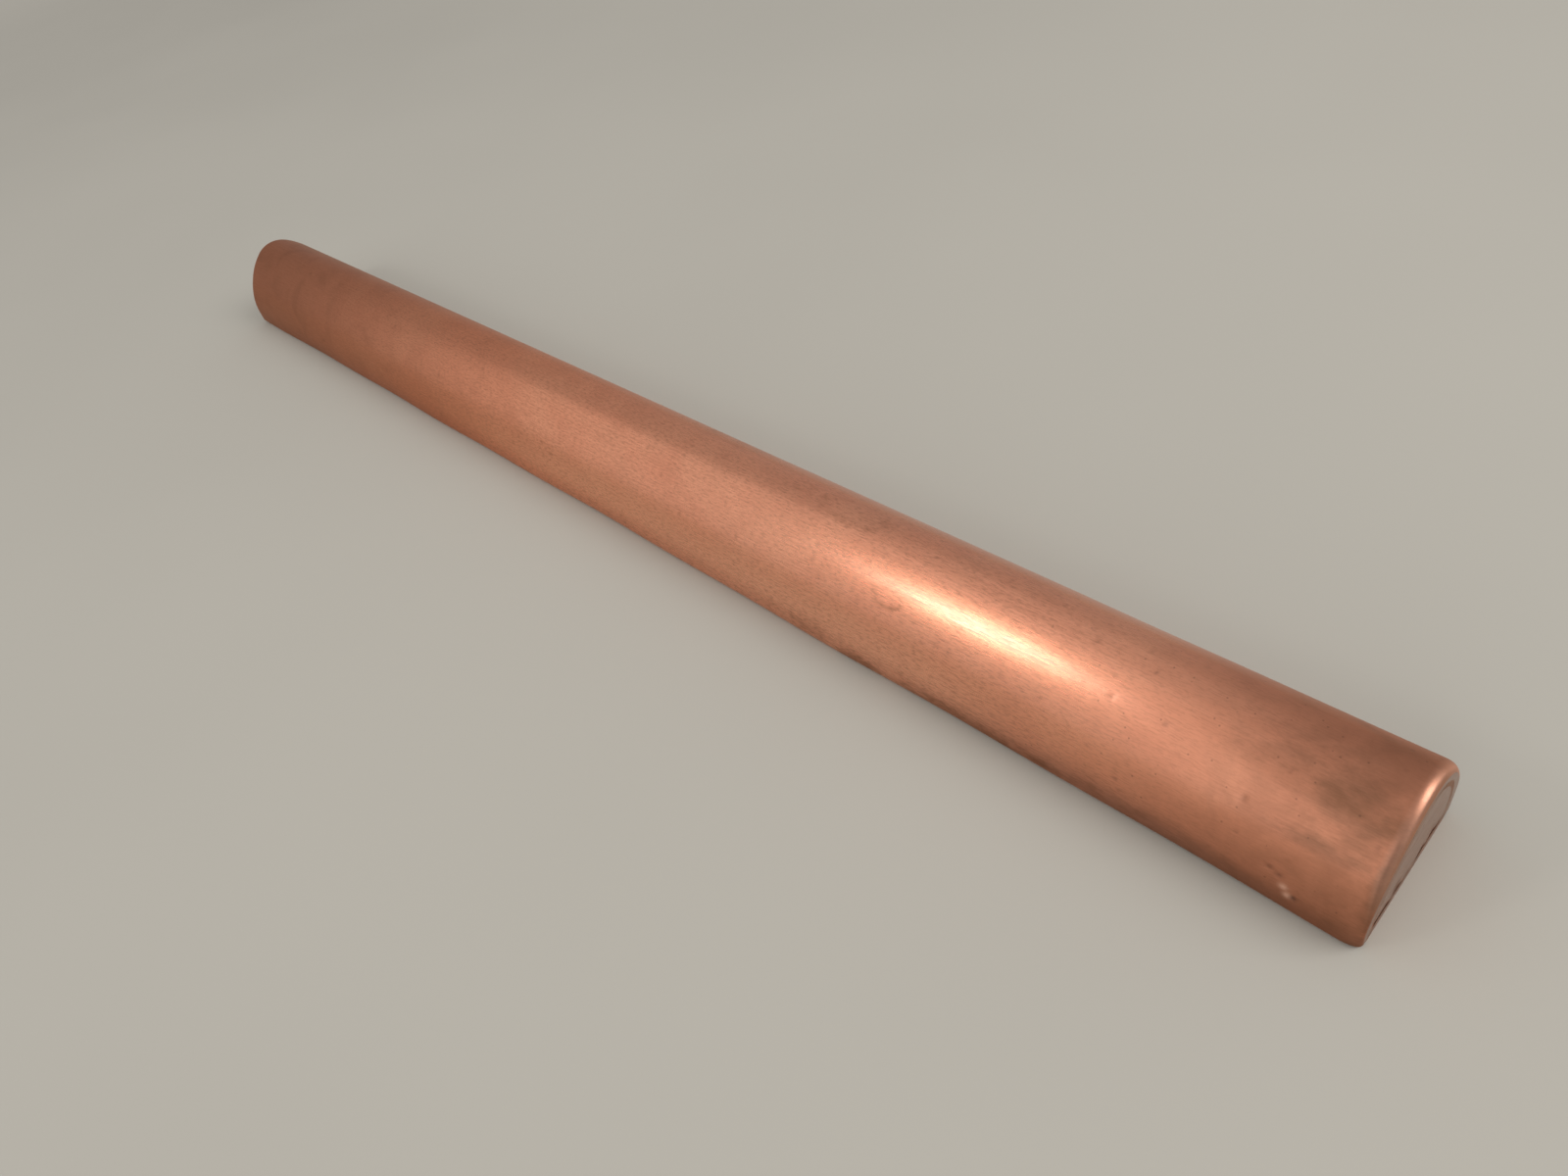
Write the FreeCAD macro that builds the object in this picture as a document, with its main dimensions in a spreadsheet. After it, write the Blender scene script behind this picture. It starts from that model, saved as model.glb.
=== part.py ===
import FreeCAD, Part
import Sketcher
import math
import os

# Closed half-oval copper bar, built up hollow and brazed together.
# Frame: X runs along the bar from the far end to the near end, Y across it, Z up.
# The origin is the middle of the flat underside.  All sizes are in millimetres.

doc = FreeCAD.newDocument("half_oval_bar")

# ---------------------------------------------------------------- driving sizes

SIZES = [
    ("bar_length", 305.0, "end face to end face"),
    ("bar_width", 24.4, "across the flat underside"),
    ("bar_height", 18.8, "underside to the crown of the arch"),
    ("crown_radius", 7.6, "outside radius of the arch's crown"),
    ("side_land", 1.0, "straight side above the base strip, where the arch springs"),
    ("shell_wall", 2.0, "sheet thickness of the cover shell"),
    ("foot_radius", 0.9, "rounding of the shell's two long lower edges"),
    ("rim_radius", 1.1, "rounding of the shell's outer edge at each end"),
    ("strip_thickness", 1.5, "sheet thickness of the base strip"),
    ("plate_thickness", 2.5, "thickness of each end plate"),
    ("seam_size", 0.7, "depth of the bevel that the brazing metal fills"),
    ("seat_gap", 0.1, "brazing gap between the shell and the pieces inside it"),
    ("rib_thickness", 2.0, "thickness of each inner rib"),
    ("rib_pitch", 50.0, "distance from one rib to the next"),
    ("rib_hole_radius", 2.5, "air passage through each rib"),
    ("rib_hole_rise", 7.5, "centre of the air passage above the underside"),
    ("vent_radius", 1.5, "vent hole through the base strip"),
    ("plug_gap", 0.05, "room between the vent hole and its plug"),
]

sheet = doc.addObject("Spreadsheet::Sheet", "dims")
for row, (name, size, meaning) in enumerate(SIZES, start=1):
    sheet.set(f"A{row}", name)
    sheet.set(f"B{row}", str(size))
    sheet.set(f"C{row}", meaning)
    sheet.setAlias(f"B{row}", name)
doc.recompute()

# Expressions that several pieces share.
SPRING = "(dims.strip_thickness + dims.side_land)"
SEATED = "(dims.shell_wall + dims.seat_gap)"
CAVITY_HALF = "(dims.bar_width / 2 - dims.shell_wall)"
STRIP_HALF = f"({CAVITY_HALF} - dims.seat_gap)"

VENT_STATION = "(dims.rib_pitch / 2)"

# Places of the ribs along the bar, counted in rib pitches from the middle.
RIB_STATIONS = {
    "far_rib": -2,
    "far_middle_rib": -1,
    "middle_rib": 0,
    "near_middle_rib": 1,
    "near_rib": 2,
}

# Largest share of the shell's wall that the rounding of its end rims may take.
RIM_SHARE = 0.8

# How near an edge's middle must lie to a plane to count as on it.
ON_PLANE = 0.01

# Sketcher's numbers for the points of a line or arc, and for a sketch's own two axes.
# The flat axis starts at the sketch's origin.
START, END, CENTRE = 1, 2, 3
FLAT_AXIS, UPRIGHT_AXIS = -1, -2


def value(expression):
    """Number that an expression over the sheet's sizes gives now."""
    return float(sheet.evalExpression(expression))


# ---------------------------------------------------------------- shared helpers


def new_body(name):
    """Empty body whose label is the node's name."""
    body = doc.addObject("PartDesign::Body", name)
    body.Label = name
    return body


def new_sketch(body, name, plane="YZ_Plane"):
    """Sketch on one of the body's own origin planes."""
    planes = {feature.Role: feature for feature in body.Origin.OriginFeatures}
    sketch = body.newObject("Sketcher::SketchObject", name)
    sketch.AttachmentSupport = [(planes[plane], "")]
    sketch.MapMode = "FlatFace"
    return sketch


def bind(sketch, constraint, name, expression):
    """Name a dimension of the sketch and drive it from the sheet."""
    index = sketch.addConstraint(constraint)
    sketch.renameConstraint(index, name)
    sketch.setExpression(f"Constraints.{name}", expression)


def arch_outline(sketch, inset, foot):
    """Closed half-oval: flat foot, short straight sides, two side arcs and a crown arc.

    inset is how far the outline lies inside the bar's outer surface, and foot is the
    height of its flat lower edge.  Both are expressions over the sheet's sizes.
    """
    half = value(f"dims.bar_width / 2 - {inset}")
    low = value(foot)
    spring = value(SPRING)
    crown = value(f"dims.crown_radius - {inset}")
    crown_z = value("dims.bar_height - dims.crown_radius")
    rise = crown_z - spring
    side = (half**2 + rise**2 - crown**2) / (2 * (half - crown))
    lean = math.atan2(rise, side - half)

    def point(y, z):
        return FreeCAD.Vector(y, z, 0)

    def arc(y, z, radius, start, end):
        circle = Part.Circle(point(y, z), FreeCAD.Vector(0, 0, 1), radius)
        return Part.ArcOfCircle(circle, start, end)

    base = sketch.addGeometry(Part.LineSegment(point(-half, low), point(half, low)))
    right = sketch.addGeometry(Part.LineSegment(point(half, low), point(half, spring)))
    right_arc = sketch.addGeometry(arc(half - side, spring, side, 0, lean))
    top_arc = sketch.addGeometry(arc(0, crown_z, crown, lean, math.pi - lean))
    left_arc = sketch.addGeometry(arc(side - half, spring, side, math.pi - lean, math.pi))
    left = sketch.addGeometry(Part.LineSegment(point(-half, spring), point(-half, low)))

    sketch.addConstraint([
        Sketcher.Constraint("Coincident", base, END, right, START),
        Sketcher.Constraint("Coincident", left, END, base, START),
        Sketcher.Constraint("Tangent", right, END, right_arc, START),
        Sketcher.Constraint("Tangent", right_arc, END, top_arc, START),
        Sketcher.Constraint("Tangent", top_arc, END, left_arc, START),
        Sketcher.Constraint("Tangent", left_arc, END, left, START),
        Sketcher.Constraint("Vertical", right),
        Sketcher.Constraint("Vertical", left),
        Sketcher.Constraint("Symmetric", base, START, base, END, UPRIGHT_AXIS),
        Sketcher.Constraint("PointOnObject", top_arc, CENTRE, UPRIGHT_AXIS),
        Sketcher.Constraint("Horizontal", left_arc, CENTRE, right_arc, CENTRE),
    ])
    across = Sketcher.Constraint("DistanceX", base, START, base, END, 2 * half)
    bind(sketch, across, "across", f"dims.bar_width - 2 * {inset}")
    if low > 0:
        lift = Sketcher.Constraint("DistanceY", FLAT_AXIS, START, base, END, low)
        bind(sketch, lift, "lift", foot)
    else:
        sketch.addConstraint(Sketcher.Constraint("PointOnObject", base, END, FLAT_AXIS))
    springing = Sketcher.Constraint("DistanceY", base, END, right, END, spring - low)
    bind(sketch, springing, "springing", f"{SPRING} - {foot}")
    crown_size = Sketcher.Constraint("Radius", top_arc, crown)
    bind(sketch, crown_size, "crown", f"dims.crown_radius - {inset}")
    crown_rise = Sketcher.Constraint("DistanceY", FLAT_AXIS, START, top_arc, CENTRE, crown_z)
    bind(sketch, crown_rise, "crown_rise", "dims.bar_height - dims.crown_radius")


def pad(body, sketch, name, length, symmetric=False):
    """Straight pad of a sketch, one way or to both sides of its plane."""
    feature = body.newObject("PartDesign::Pad", name)
    feature.Profile = sketch
    feature.SideType = "Symmetric" if symmetric else "One side"
    feature.setExpression("Length", length)
    doc.recompute()
    return feature


def pocket_through(body, sketch, name):
    """Cut a sketch through the whole body, both ways from its plane."""
    feature = body.newObject("PartDesign::Pocket", name)
    feature.Profile = sketch
    feature.SideType = "Symmetric"
    feature.Type = "ThroughAll"
    doc.recompute()
    return feature


def edges_where(shape, wanted):
    """Names of the edges whose middle point satisfies the test."""
    names = []
    for number, edge in enumerate(shape.Edges, start=1):
        middle = edge.valueAt((edge.FirstParameter + edge.LastParameter) / 2)
        if wanted(middle):
            names.append(f"Edge{number}")
    return names


def circle_at(sketch, across, up, radius, expressions):
    """Circle with its place and radius driven by a dictionary of expressions."""
    centre = FreeCAD.Vector(across, up, 0)
    ring = sketch.addGeometry(Part.Circle(centre, FreeCAD.Vector(0, 0, 1), radius))
    bind(sketch, Sketcher.Constraint("Radius", ring, radius), "radius", expressions["radius"])
    for name, kind, size in (("across", "DistanceX", across), ("up", "DistanceY", up)):
        if name in expressions:
            place = Sketcher.Constraint(kind, FLAT_AXIS, START, ring, CENTRE, size)
            bind(sketch, place, name, expressions[name])
        else:
            axis = UPRIGHT_AXIS if name == "across" else FLAT_AXIS
            sketch.addConstraint(Sketcher.Constraint("PointOnObject", ring, CENTRE, axis))


def polygon(sketch, corners):
    """Closed polygon; each corner is a pair of expressions for its two coordinates."""
    points = [FreeCAD.Vector(value(across), value(up), 0) for across, up in corners]
    count = len(points)
    for index in range(count):
        sketch.addGeometry(Part.LineSegment(points[index], points[(index + 1) % count]))
    for index in range(count):
        following = (index + 1) % count
        sketch.addConstraint(
            Sketcher.Constraint("Coincident", index, END, following, START))
    for index, (across, up) in enumerate(corners):
        from_origin = (FLAT_AXIS, START, index, START)
        across_place = Sketcher.Constraint("DistanceX", *from_origin, points[index].x)
        bind(sketch, across_place, f"across{index}", across)
        up_place = Sketcher.Constraint("DistanceY", *from_origin, points[index].y)
        bind(sketch, up_place, f"up{index}", up)


# ---------------------------------------------------------------- cover shell


def make_cover_shell():
    """Half-oval channel of copper sheet, open below and at both ends, edges rounded over."""
    body = new_body("cover_shell")
    outside = new_sketch(body, "shell_outside")
    arch_outline(outside, "0", "0")
    blank = pad(body, outside, "shell_blank", "dims.bar_length", symmetric=True)

    length = value("dims.bar_length")
    feet = body.newObject("PartDesign::Fillet", "shell_feet")
    long_feet = edges_where(
        blank.Shape, lambda p: abs(p.z) < ON_PLANE and abs(p.x) < ON_PLANE)
    feet.Base = (blank, long_feet)
    feet.setExpression("Radius", "min(dims.foot_radius; dims.shell_wall / 2)")
    doc.recompute()

    rims = body.newObject("PartDesign::Fillet", "shell_rims")
    end_edges = edges_where(
        feet.Shape, lambda p: abs(abs(p.x) - length / 2) < ON_PLANE)
    rims.Base = (feet, end_edges)
    rims.setExpression("Radius", f"min(dims.rim_radius; dims.shell_wall * {RIM_SHARE})")
    doc.recompute()

    inside = new_sketch(body, "shell_inside")
    arch_outline(inside, "dims.shell_wall", "0")
    pocket_through(body, inside, "shell_hollow")
    return body


# ---------------------------------------------------------------- base strip and vent


def make_base_strip():
    """Flat strip between the shell's feet, bevelled below for its two seams."""
    body = new_body("base_strip")
    section = new_sketch(body, "strip_section")
    bevelled_half = f"({STRIP_HALF} - dims.seam_size)"
    polygon(section, [
        (f"-{bevelled_half}", "0 mm"),
        (bevelled_half, "0 mm"),
        (STRIP_HALF, "dims.seam_size"),
        (STRIP_HALF, "dims.strip_thickness"),
        (f"-{STRIP_HALF}", "dims.strip_thickness"),
        (f"-{STRIP_HALF}", "dims.seam_size"),
    ])
    pad(body, section, "strip_blank", "dims.bar_length", symmetric=True)

    vent = new_sketch(body, "vent_circle", plane="XY_Plane")
    circle_at(vent, value(VENT_STATION), 0, value("dims.vent_radius"), {
        "radius": "dims.vent_radius",
        "across": VENT_STATION,
    })
    pocket_through(body, vent, "vent_hole")
    return body


def make_vent_plug():
    """Round pin that closes the vent hole, flush with the underside."""
    plug = doc.addObject("Part::Cylinder", "vent_plug")
    plug.Label = "vent_plug"
    plug.setExpression("Radius", "dims.vent_radius - dims.plug_gap")
    plug.setExpression("Height", "dims.strip_thickness")
    plug.setExpression("Placement.Base.x", VENT_STATION)
    return plug


def make_base_seam(name, side):
    """Brazing run that fills the bevel between the base strip and one foot of the shell."""
    body = new_body(name)
    section = new_sketch(body, f"{name}_section")
    polygon(section, [
        (f"{side} * {CAVITY_HALF}", "0 mm"),
        (f"{side} * {CAVITY_HALF}", "dims.seam_size"),
        (f"{side} * {STRIP_HALF}", "dims.seam_size"),
        (f"{side} * ({STRIP_HALF} - dims.seam_size)", "0 mm"),
    ])
    pad(body, section, f"{name}_run", "dims.bar_length", symmetric=True)
    return body


# ---------------------------------------------------------------- ends


def place_at_end(body, side):
    """Put a body's outer face on one end plane of the bar, facing outwards."""
    turn = 0 if side > 0 else 180
    body.Placement.Rotation = FreeCAD.Rotation(FreeCAD.Vector(0, 0, 1), turn)
    body.setExpression("Placement.Base.x", f"{side} * dims.bar_length / 2")
    doc.recompute()


def make_end_plate(name, side):
    """Plate that closes one end, standing on the base strip, bevelled all round outside."""
    body = new_body(name)
    outline = new_sketch(body, f"{name}_outline")
    arch_outline(outline, SEATED, "dims.strip_thickness")
    blank = pad(body, outline, f"{name}_blank", "dims.plate_thickness")
    blank.Reversed = True
    doc.recompute()

    bevel = body.newObject("PartDesign::Chamfer", f"{name}_bevel")
    bevel.Base = (blank, edges_where(blank.Shape, lambda p: abs(p.x) < ON_PLANE))
    bevel.setExpression("Size", "dims.seam_size")
    place_at_end(body, side)
    return body


def make_end_seam(name, side, plate):
    """Brazing ring that fills the bevel between an end plate, the shell and the strip."""
    blank = new_body(f"{name}_blank")
    outline = new_sketch(blank, f"{name}_outline")
    arch_outline(outline, "dims.shell_wall", "dims.strip_thickness")
    layer = pad(blank, outline, f"{name}_layer", "dims.seam_size")
    layer.Reversed = True
    place_at_end(blank, side)

    seam = doc.addObject("Part::Cut", name)
    seam.Label = name
    seam.Base = blank
    seam.Tool = plate
    doc.recompute()
    return seam


# ---------------------------------------------------------------- ribs


def make_rib(name, station):
    """Upright plate that holds the shell's section, pierced so that air can pass."""
    body = new_body(name)
    outline = new_sketch(body, f"{name}_outline")
    arch_outline(outline, SEATED, "dims.strip_thickness")
    pad(body, outline, f"{name}_blank", "dims.rib_thickness", symmetric=True)

    passage = new_sketch(body, f"{name}_passage")
    circle_at(passage, 0, value("dims.rib_hole_rise"), value("dims.rib_hole_radius"), {
        "radius": "dims.rib_hole_radius",
        "up": "dims.rib_hole_rise",
    })
    pocket_through(body, passage, f"{name}_hole")
    body.setExpression("Placement.Base.x", f"{station} * dims.rib_pitch")
    return body


# ---------------------------------------------------------------- assembly


def make_bar():
    """Every node of the bar, in the order in which it is put together."""
    near_plate = make_end_plate("near_end_plate", 1)
    far_plate = make_end_plate("far_end_plate", -1)
    nodes = [make_cover_shell(), make_base_strip(), make_vent_plug()]
    nodes += [make_rib(name, station) for name, station in RIB_STATIONS.items()]
    nodes += [near_plate, far_plate]
    nodes += [make_base_seam("front_base_seam", -1), make_base_seam("rear_base_seam", 1)]
    nodes += [
        make_end_seam("near_end_seam", 1, near_plate),
        make_end_seam("far_end_seam", -1, far_plate),
    ]
    doc.recompute()
    return nodes


def check_document():
    """Stop if any object of the document failed to compute."""
    for item in doc.Objects:
        if "Invalid" in item.State or "Error" in item.State:
            raise RuntimeError(f"{item.Name} did not compute: {item.State}")


def write_parts(nodes):
    """One STEP file for each node, after its shape has been checked."""
    os.makedirs("parts", exist_ok=True)
    for node in nodes:
        shape = node.Shape
        if shape.isNull() or not shape.isValid() or len(shape.Solids) != 1:
            raise RuntimeError(f"{node.Label} is not one valid solid")
        shape.exportStep(os.path.join("parts", f"{node.Label}.step"))


bar = make_bar()
check_document()
write_parts(bar)
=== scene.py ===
"""Half-oval copper bar: surfaces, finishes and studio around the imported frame.

Run as a script.
"""

import math

import bpy
import numpy as np
from bpy.props import FloatProperty, FloatVectorProperty, IntProperty, PointerProperty
from mathutils import Matrix, Vector


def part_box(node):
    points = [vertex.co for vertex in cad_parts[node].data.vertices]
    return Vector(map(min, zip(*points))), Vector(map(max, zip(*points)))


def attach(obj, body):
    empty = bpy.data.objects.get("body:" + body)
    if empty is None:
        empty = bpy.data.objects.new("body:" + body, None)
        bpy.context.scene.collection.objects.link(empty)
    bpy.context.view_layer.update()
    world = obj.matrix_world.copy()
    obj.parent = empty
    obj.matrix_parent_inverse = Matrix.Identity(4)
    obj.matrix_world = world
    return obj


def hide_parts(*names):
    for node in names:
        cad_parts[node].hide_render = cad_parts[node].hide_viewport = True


bl_info = {
    "name": "Half-oval copper bar",
    "version": (1, 0, 0),
    "blender": (4, 5, 0),
    "location": "View3D > Sidebar > Copper bar",
    "description": "Makes the skin, the finishes and the stage of a closed copper bar",
    "category": "Object",
}

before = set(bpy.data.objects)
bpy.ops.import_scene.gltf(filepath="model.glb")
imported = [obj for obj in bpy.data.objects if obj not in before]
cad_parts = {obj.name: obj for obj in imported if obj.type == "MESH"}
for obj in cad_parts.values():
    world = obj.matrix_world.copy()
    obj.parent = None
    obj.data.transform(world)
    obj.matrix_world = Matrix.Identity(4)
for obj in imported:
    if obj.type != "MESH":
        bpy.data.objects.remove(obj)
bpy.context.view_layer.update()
SHELL_LOW, SHELL_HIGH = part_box("cover_shell")

# ---- settings


def length_prop(name, description, value):
    """Setting that is a length in metres."""
    return FloatProperty(
        name=name, description=description, default=value, unit="LENGTH", precision=6)


def share_prop(name, description, value):
    """Setting between none and all."""
    return FloatProperty(
        name=name, description=description, default=value, min=0, max=1, subtype="FACTOR")


def power_prop(name, description, value):
    """Setting that is a lamp's power in watts."""
    return FloatProperty(
        name=name, description=description, default=value, min=0, unit="POWER")


def colour_prop(name, description, value):
    """Setting that is a colour."""
    return FloatVectorProperty(
        name=name, description=description, default=value, min=0, max=1, size=3,
        subtype="COLOR")


class BarShape(bpy.types.PropertyGroup):
    """Sizes of the cover's visible surface that the frame's box doesn't give."""

    crown_radius: length_prop("Crown radius", "Outside radius of the arch's crown", 0.0076)
    spring_height: length_prop(
        "Spring height", "Height at which the sides start to lean in", 0.0025)
    wall: length_prop("Wall", "Sheet thickness of the cover", 0.002)
    seam: length_prop("Seam", "Size of the bevel that the brazing metal fills", 0.0007)
    foot_radius: length_prop("Foot radius", "Rounding of the two long lower edges", 0.0009)
    rim_reach: length_prop(
        "Rim reach", "How far the crown's end rounding reaches along the bar", 0.0016)
    rim_drop: length_prop("Rim drop", "How far the crown's end rounding falls", 0.0010)
    low_rim_reach: length_prop(
        "Low rim reach", "Reach of the end rounding beside the feet", 0.0005)
    low_rim_drop: length_prop("Low rim drop", "Fall of the end rounding beside the feet", 0.0003)
    corner_reach: length_prop(
        "Corner reach", "Length of the wear on the near front corner", 0.0026)
    corner_inward: length_prop(
        "Corner inward", "How far the worn near front corner moves inwards", 0.0010)
    foot_wander: length_prop(
        "Foot wander", "Largest inward drift of the long lower edges", 0.00035)
    dent_depth: length_prop("Dent depth", "Depth of the broad shallow dents", 0.00005)
    pit_depth: length_prop("Pit depth", "Depth of the deepest small pits", 0.00010)
    pit_count: IntProperty(
        name="Pits", description="Number of small scattered pits in the cover", default=90)
    stations: IntProperty(
        name="Stations", description="Cross sections along the bar", default=500)
    around: IntProperty(
        name="Around", description="Points across the arch of each section", default=150)


class BarFinish(bpy.types.PropertyGroup):
    """Colours and roughness of the copper and of the brazing metal."""

    copper: colour_prop("Copper", "Brushed copper", (0.87, 0.368, 0.213))
    copper_warm: colour_prop("Warm copper", "Redder patches of the copper", (0.83, 0.325, 0.185))
    # Brown tarnish; it also paints shade, since the far end, the near end and the low front are
    # mixed towards it.
    brown_tarnish_and_shade: colour_prop("Tarnish", "Brown tarnish", (0.34, 0.137, 0.076))
    dark_tarnish: colour_prop("Dark tarnish", "Darkest stains and pits", (0.09, 0.04, 0.028))
    # Painted light: lighter copper low on the front side, standing in for the light that the low
    # front flank picks up.
    painted_light: colour_prop(
        "Rubbed copper", "Copper rubbed clean low on the front side", (1.00, 0.48, 0.30))
    fresh: colour_prop("Fresh copper", "Bare copper on worn edges", (0.88, 0.52, 0.38))
    glancing: colour_prop(
        "Glancing", "Tint of reflections seen at a low angle", (0.92, 0.66, 0.55))
    end_glancing: colour_prop(
        "End glancing", "Tint of the flat pieces seen at a low angle", (0.34, 0.30, 0.28))
    dull: colour_prop("Dull copper", "Dark dull copper of the underside", (0.46, 0.225, 0.145))
    soiled: colour_prop("Soiled copper", "Olive brown of the stains", (0.225, 0.100, 0.054))
    filed: colour_prop(
        "Filed copper", "Dull greyish copper of the end plates", (0.60, 0.37, 0.275))
    brazing: colour_prop("Brazing metal", "Colour of the seams", (0.54, 0.33, 0.24))
    # Painted shade: the far end is mixed towards brown to darken its dim reflection.
    far_painted_shade: share_prop("Far tarnish", "Share of brown tarnish at the far end", 0.88)
    # Near end: partly real brown tarnish, partly painted shade for the dark reflection above it.
    near_tarnish_and_shade: share_prop("Near tarnish", "Share of brown tarnish at the near end", 0.72)
    roughness: share_prop("Roughness", "Mean roughness of the brushed copper", 0.285)
    roughness_spread: share_prop(
        "Roughness spread", "Difference of ridges and grooves from the mean", 0.035)
    film: share_prop("Oxide film", "Share of the cover under a thin clear oxide film", 0.70)
    far_film: share_prop("Far film", "Share under the film towards the far end", 0.14)
    end_film: share_prop("End film", "Share of the flat pieces under a clear oxide film", 0.55)
    grain_depth: length_prop("Grain depth", "Height of the brushed grain", 0.000002)


class BarStage(bpy.types.PropertyGroup):
    """Camera, lamps and floor."""

    eye: FloatVectorProperty(
        name="Eye", description="Place of the camera", subtype="TRANSLATION", size=3,
        default=(0.16355, -0.08322, 0.12544), unit="LENGTH", precision=5)
    heading: FloatProperty(
        name="Heading", description="Camera's turn from the +Y direction towards +X",
        default=math.radians(-55.12), subtype="ANGLE")
    dip: FloatProperty(
        name="Dip", description="How far the camera looks down",
        default=math.radians(43.0), subtype="ANGLE")
    roll: FloatProperty(
        name="Roll", description="Turn of the camera about its own line of sight",
        default=math.radians(-15.49), subtype="ANGLE")
    lens: FloatProperty(
        name="Lens", description="Focal length on a 36 mm wide sensor, in millimetres",
        default=24.51, min=1)
    floor: colour_prop("Floor", "Colour of the floor", (0.43, 0.405, 0.355))
    distance: colour_prop(
        "Distance", "Even tone of the far floor and of the backdrop", (0.47, 0.44, 0.385))
    sky: FloatProperty(
        name="Sky", description="Strength of the world's even light", default=0.58, min=0)
    backdrop: FloatProperty(
        name="Backdrop", description="Strength of the world where it is seen or mirrored",
        default=0.45, min=0)
    key_power: power_prop("Key", "Power of the small key lamp", 0.66)
    broad_power: power_prop("Broad key", "Power of the softbox around the key", 1.65)
    top_power: power_prop("Top", "Power of the softbox overhead", 1.3)
    front_power: power_prop("Front", "Power of the low softbox in front", 1.80)
    high_power: power_prop("High", "Power of the high softbox behind the near end", 5.1)


# ---- surfaces


def ease(low, high, value):
    """Smooth step of value from 0 at low to 1 at high: 3 t^2 - 2 t^3."""
    t = np.clip((value - low) / (high - low), 0, 1)
    return t * t * (3 - 2 * t)


def bump(value, centre, reach):
    """Bell curve: e to the minus the squared distance from centre over reach."""
    return np.exp(-(((value - centre) / reach) ** 2))


def arch(half, height, spring, crown, foot, count):
    """Right-to-left half-oval as points, outward normals and arc length.

    The normal's tilt from upright runs evenly in arc length through five stretches on each
    side: a quarter round at the foot, a straight side, a side arc and a crown arc that
    share a tangent.  The side arc's radius is (a^2 + c^2 - r^2) / 2(a - r) for half width
    a, crown radius r and crown centre c above the spring.
    """
    rise = height - crown - spring
    side = (half**2 + rise**2 - crown**2) / (2 * (half - crown))
    lean = math.atan2(rise, side - half)
    lengths = np.array([
        foot * math.pi / 2, spring - foot, side * lean, crown * (math.pi / 2 - lean)])
    ends = np.concatenate([[0], np.cumsum(lengths)])
    total = 2 * ends[-1]
    run = np.linspace(0, total, count)
    up = np.minimum(run, total - run)
    turn = np.interp(up, ends, [-math.pi / 2, 0, 0, lean, math.pi / 2])
    parts = [up < ends[1], up < ends[2], up < ends[3]]
    cosine, sine = np.cos(turn), np.sin(turn)
    y = np.select(
        parts, [half - foot + foot * cosine, np.full_like(up, half), half - side + side * cosine],
        crown * cosine)
    z = np.select(
        parts, [foot + foot * sine, foot + up - ends[1], spring + side * sine],
        height - crown + crown * sine)
    facing = np.where(run < total / 2, -1.0, 1.0)
    points = np.stack([facing * y, z], axis=1)
    normals = np.stack([facing * cosine, sine], axis=1)
    return points, normals, run


# Marks by kind: place along, place around, reach along, reach around, amount.  Around is
# measured over the arch from the front foot.  A chip's or pit's amount is its height or
# depth in metres, a ring's or stain's is a share.
MARKS = {
    "chip": (
        (0.1431, 0.0053, 0.0005, 0.00045, 0.00008), (0.1437, 0.0042, 0.00045, 0.00055, 0.00007),
    ),
    "pit": (
        (0.1444, 0.0041, 0.00035, 0.00035, 0.00022), (0.1358, 0.014, 0.00042, 0.00036, 0.00008),
        (0.117, 0.0178, 0.00034, 0.00028, 0.00004), (0.1207, 0.0075, 0.00028, 0.00028, 0.0001),
        (0.141, 0.0072, 0.0004, 0.0003, 0.00012), (0.1423, 0.0067, 0.0004, 0.0003, 0.00012),
        (0.0844, 0.0245, 0.00025, 0.00025, 0.00008),
    ),
    "ring": (
        (0.0804, 0.0157, 0.0026, 0.0013, 0.42), (0.0674, 0.0257, 0.0065, 0.0024, 0.28),
        (0.056, 0.0262, 0.002, 0.0012, 0.28),
    ),
    "stain": (
        (0.076, 0.0014, 0.0055, 0.0021, 0.85), (0.064, 0.003, 0.009, 0.003, 0.42),
        (0.098, 0.0012, 0.024, 0.003, 0.7), (0.109, 0.002, 0.004, 0.002, 0.7),
        (0.125, 0.002, 0.018, 0.004, 0.5), (0.1455, 0.0195, 0.005, 0.0036, 0.8),
        (0.149, 0.017, 0.0032, 0.003, 0.7), (0.145, 0.013, 0.0055, 0.0012, 0.62),
        (0.14, 0.0215, 0.011, 0.005, 0.3), (0.15, 0.003, 0.0045, 0.004, 0.45),
        (0.03, 0.033, 0.015, 0.006, 0.3), (-0.06, 0.038, 0.02, 0.007, 0.25),
        (-0.12, 0.045, 0.015, 0.004, 0.3), (0.1521, 0.012, 0.0013, 0.0085, 0.8),
        (0.1504, 0.0188, 0.002, 0.0022, 0.75), (0.1488, 0.0133, 0.0032, 0.0008, 0.6),
        (0.1516, 0.001, 0.0014, 0.0014, 1.00),
    ),
}
# Cross sections in each rim's rounding, and how much they crowd towards the near end.
RIM_STEPS = 9
NEAR_CROWDING = 0.34
SOFT_ANGLE = math.radians(40)


def station_places(half_length, count, reach):
    """Places along the bar: closer towards the near end, and a quarter sine in both rims."""
    even = np.linspace(-1, 1, count - 2 * RIM_STEPS)
    middle = (even + NEAR_CROWDING * (1 - even**2)) * (half_length - reach)
    quarter = np.linspace(0, math.pi / 2, RIM_STEPS + 1)[1:]
    near = half_length - reach + reach * np.sin(quarter)
    return np.concatenate([-near[::-1], middle, near])


def pick(count, kept):
    """Numbers of the kept items, spread evenly over a count."""
    return np.linspace(0, count - 1, kept).round().astype(int)


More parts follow.
